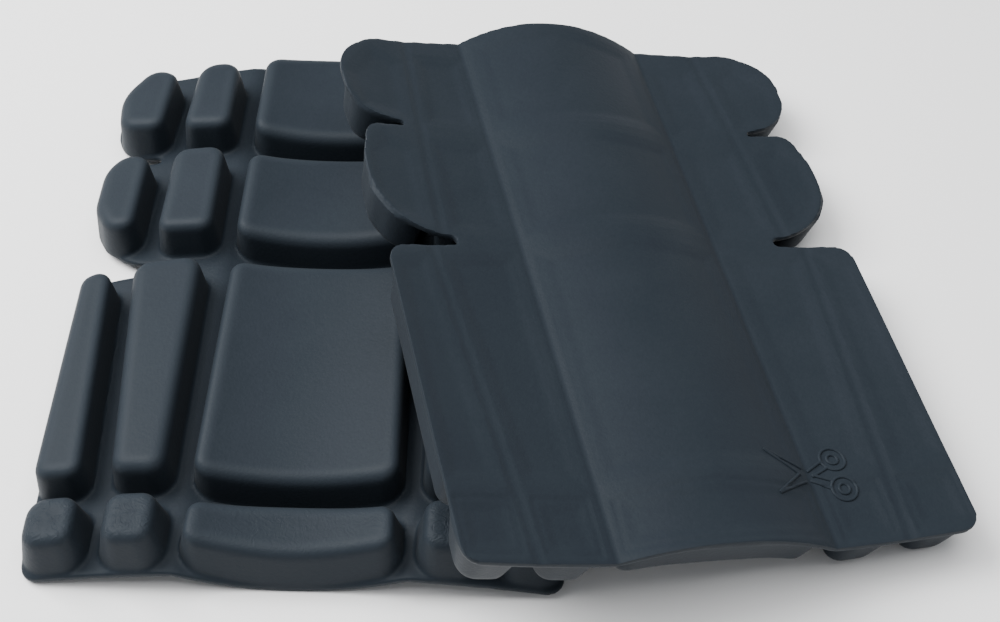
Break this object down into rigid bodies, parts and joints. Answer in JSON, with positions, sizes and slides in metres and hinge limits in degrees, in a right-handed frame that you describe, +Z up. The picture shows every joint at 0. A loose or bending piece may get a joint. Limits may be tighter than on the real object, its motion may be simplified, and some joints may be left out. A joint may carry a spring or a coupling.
{
  "type": "knee pad insert pair",
  "caption": "Pair of moulded foam knee-pad inserts with raised blocks and folding wings, one lying block side up and the other smooth side up across it.",
  "frame": {"origin": "bottom centre of the bounding box of the two pads as they lie, on the surface they lie on", "axes": "+X to the viewer's right across the pads, +Y towards the lower pad's top end, +Z up"},
  "size_m": [0.3178, 0.2652, 0.0636],
  "materials": {
    "foam": "fine matte closed-cell moulded foam"
  },
  "bodies": {
    "lower_core": {"lower_centre_sheet": "foam", "lower_centre_block_1": "foam", "lower_centre_block_2": "foam", "lower_centre_block_3": "foam", "lower_centre_block_4": "foam", "lower_left_crease": "foam", "lower_right_inner_block_1": "foam", "lower_right_inner_block_2": "foam", "lower_right_inner_block_3": "foam", "lower_right_inner_block_4": "foam", "lower_right_outer_block_1": "foam", "lower_right_outer_block_2": "foam", "lower_right_outer_block_3": "foam", "lower_right_outer_block_4": "foam"},
    "lower_left_wing": {"lower_left_wing_sheet": "foam", "lower_left_lower_edge_crease": "foam", "lower_left_upper_edge_crease": "foam", "lower_left_inner_block_1": "foam", "lower_left_inner_block_2": "foam", "lower_left_inner_block_3": "foam", "lower_left_inner_block_4": "foam"},
    "lower_left_lower_edge": {"lower_left_lower_edge_sheet": "foam", "lower_left_outer_block_3": "foam", "lower_left_outer_block_4": "foam"},
    "lower_left_upper_edge": {"lower_left_upper_edge_sheet": "foam", "lower_left_outer_block_1": "foam", "lower_left_outer_block_2": "foam"},
    "upper_core": {"upper_centre_sheet": "foam", "upper_centre_block_1": "foam", "upper_centre_block_2": "foam", "upper_centre_block_3": "foam", "upper_centre_block_4": "foam", "upper_right_crease": "foam", "upper_left_crease": "foam"},
    "upper_right_wing": {"upper_right_wing_sheet": "foam", "upper_right_lower_edge_crease": "foam", "upper_right_upper_edge_crease": "foam", "upper_right_inner_block_1": "foam", "upper_right_inner_block_2": "foam", "upper_right_inner_block_3": "foam", "upper_right_inner_block_4": "foam"},
    "upper_right_lower_edge": {"upper_right_lower_edge_sheet": "foam", "upper_right_outer_block_3": "foam", "upper_right_outer_block_4": "foam"},
    "upper_right_upper_edge": {"upper_right_upper_edge_sheet": "foam", "upper_right_outer_block_1": "foam", "upper_right_outer_block_2": "foam"},
    "upper_left_wing": {"upper_left_wing_sheet": "foam", "upper_left_lower_edge_crease": "foam", "upper_left_upper_edge_crease": "foam", "upper_left_inner_block_1": "foam", "upper_left_inner_block_2": "foam", "upper_left_inner_block_3": "foam", "upper_left_inner_block_4": "foam"},
    "upper_left_lower_edge": {"upper_left_lower_edge_sheet": "foam", "upper_left_outer_block_3": "foam", "upper_left_outer_block_4": "foam"},
    "upper_left_upper_edge": {"upper_left_upper_edge_sheet": "foam", "upper_left_outer_block_1": "foam", "upper_left_outer_block_2": "foam"}
  },
  "joints": [
    {"name": "upper_pad_lift", "type": "slide", "parent": "lower_core", "child": "upper_core", "axis": [0, 0, 1], "range_m": [0, 0.12]},
    {"name": "lower_left_wing_fold", "type": "hinge", "parent": "lower_core", "child": "lower_left_wing", "pos_m": [-0.10543, 0.00733, 0.00919], "axis": [0, 1, 0], "range_deg": [0, 30], "stiffness_Nm_per_rad": 0.08, "deforming": ["lower_left_crease"]},
    {"name": "lower_left_upper_edge_fold", "type": "hinge", "parent": "lower_left_wing", "child": "lower_left_upper_edge", "pos_m": [-0.13203, 0.07058, 0.0064], "axis": [0.0552, 0.9984, 0.0084], "range_deg": [0, 25], "stiffness_Nm_per_rad": 0.05, "deforming": ["lower_left_upper_edge_crease"]},
    {"name": "lower_left_lower_edge_fold", "type": "hinge", "parent": "lower_left_wing", "child": "lower_left_lower_edge", "pos_m": [-0.13608, -0.04892, 0.00575], "axis": [-0.0657, 0.9978, -0.0107], "range_deg": [0, 25], "stiffness_Nm_per_rad": 0.05, "deforming": ["lower_left_lower_edge_crease"]},
    {"name": "upper_left_wing_fold", "type": "hinge", "parent": "upper_core", "child": "upper_left_wing", "pos_m": [0.00865, -0.00633, 0.04156], "axis": [-0.2419, 0.9703, 0], "range_deg": [0, 30], "stiffness_Nm_per_rad": 0.08, "deforming": ["upper_left_crease"]},
    {"name": "upper_left_upper_edge_fold", "type": "hinge", "parent": "upper_left_wing", "child": "upper_left_upper_edge", "pos_m": [-0.031, 0.04897, 0.05083], "axis": [-0.1917, 0.9812, -0.0217], "range_deg": [0, 25], "stiffness_Nm_per_rad": 0.05, "deforming": ["upper_left_upper_edge_crease"]},
    {"name": "upper_left_lower_edge_fold", "type": "hinge", "parent": "upper_left_wing", "child": "upper_left_lower_edge", "pos_m": [-0.00574, -0.06789, 0.05246], "axis": [-0.3006, 0.9534, 0.0266], "range_deg": [0, 25], "stiffness_Nm_per_rad": 0.05, "deforming": ["upper_left_lower_edge_crease"]},
    {"name": "upper_right_wing_fold", "type": "hinge", "parent": "upper_core", "child": "upper_right_wing", "pos_m": [0.08067, 0.01163, 0.02264], "axis": [0.2419, -0.9703, 0], "range_deg": [0, 30], "stiffness_Nm_per_rad": 0.08, "deforming": ["upper_right_crease"]},
    {"name": "upper_right_upper_edge_fold", "type": "hinge", "parent": "upper_right_wing", "child": "upper_right_upper_edge", "pos_m": [0.09105, 0.0794, 0.01877], "axis": [0.2954, -0.9554, -0.0055], "range_deg": [0, 25], "stiffness_Nm_per_rad": 0.05, "deforming": ["upper_right_upper_edge_crease"]},
    {"name": "upper_right_lower_edge_fold", "type": "hinge", "parent": "upper_right_wing", "child": "upper_right_lower_edge", "pos_m": [0.12392, -0.03556, 0.0184], "axis": [0.177, -0.9842, 0.0059], "range_deg": [0, 25], "stiffness_Nm_per_rad": 0.05, "deforming": ["upper_right_lower_edge_crease"]}
  ]
}
